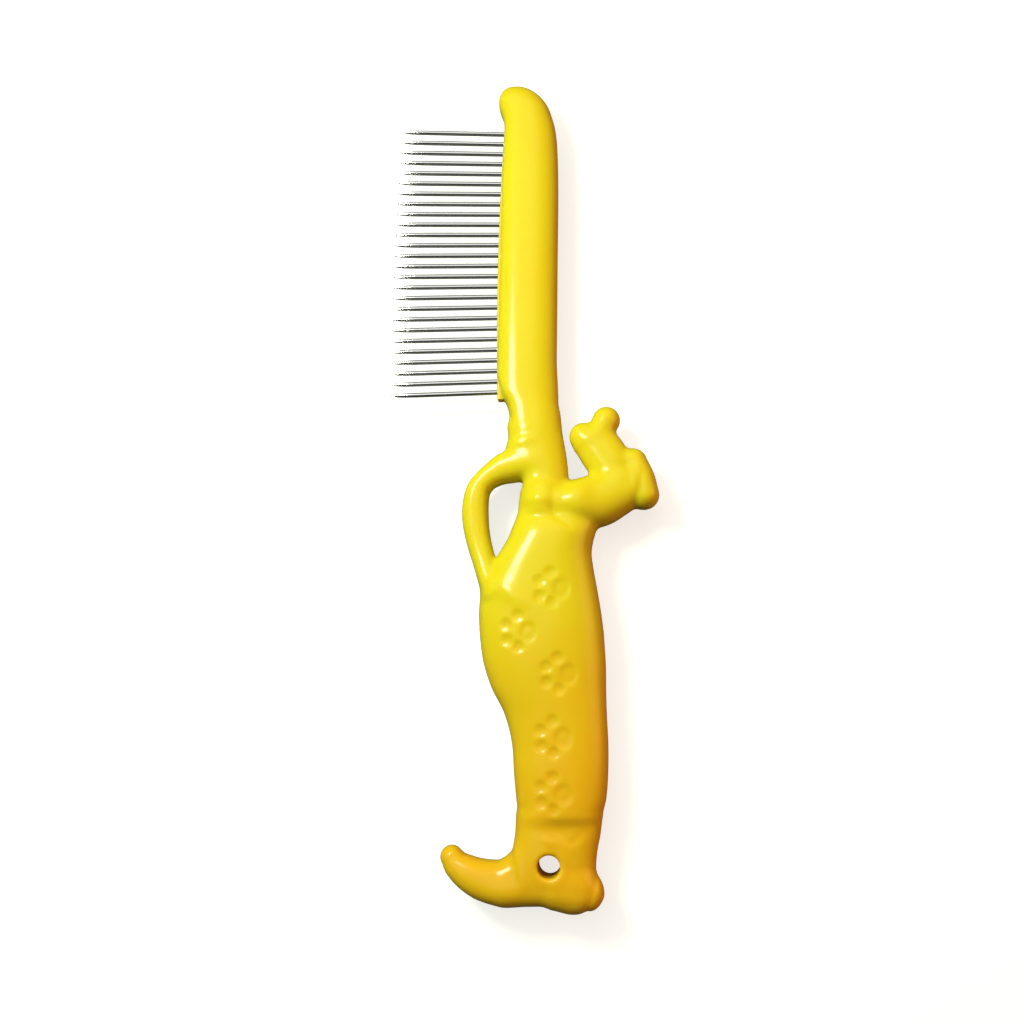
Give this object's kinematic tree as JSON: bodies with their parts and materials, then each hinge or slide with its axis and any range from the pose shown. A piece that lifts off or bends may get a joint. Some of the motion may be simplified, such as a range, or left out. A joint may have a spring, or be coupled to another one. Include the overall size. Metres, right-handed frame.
{
  "type": "flea comb",
  "caption": "Pet flea comb: a row of slim tapered steel pins in a yellow moulded handle shaped as a booted leg with a looped arm, a bone and paw prints.",
  "frame": {"origin": "middle of the hanging hole in the boot, on the comb's middle plane", "axes": "+Y from the boot to the tip of the spine, the pins point to -X, +Z through the thickness; the comb lies flat"},
  "size_m": [0.0608, 0.1847, 0.0154],
  "materials": {
    "handle_plastic": "high gloss",
    "bar_plastic": "gloss",
    "pin_steel": "polished"
  },
  "bodies": {
    "root": {"handle": "handle_plastic", "pin_bar": "bar_plastic", "pin_01": "pin_steel", "pin_02": "pin_steel", "pin_03": "pin_steel", "pin_04": "pin_steel", "pin_05": "pin_steel", "pin_06": "pin_steel", "pin_07": "pin_steel", "pin_08": "pin_steel", "pin_09": "pin_steel", "pin_10": "pin_steel", "pin_11": "pin_steel", "pin_12": "pin_steel", "pin_13": "pin_steel", "pin_14": "pin_steel", "pin_15": "pin_steel", "pin_16": "pin_steel", "pin_17": "pin_steel", "pin_18": "pin_steel", "pin_19": "pin_steel", "pin_20": "pin_steel", "pin_21": "pin_steel", "pin_22": "pin_steel", "pin_23": "pin_steel", "pin_24": "pin_steel", "pin_25": "pin_steel", "pin_26": "pin_steel"}
  },
  "joints": []
}
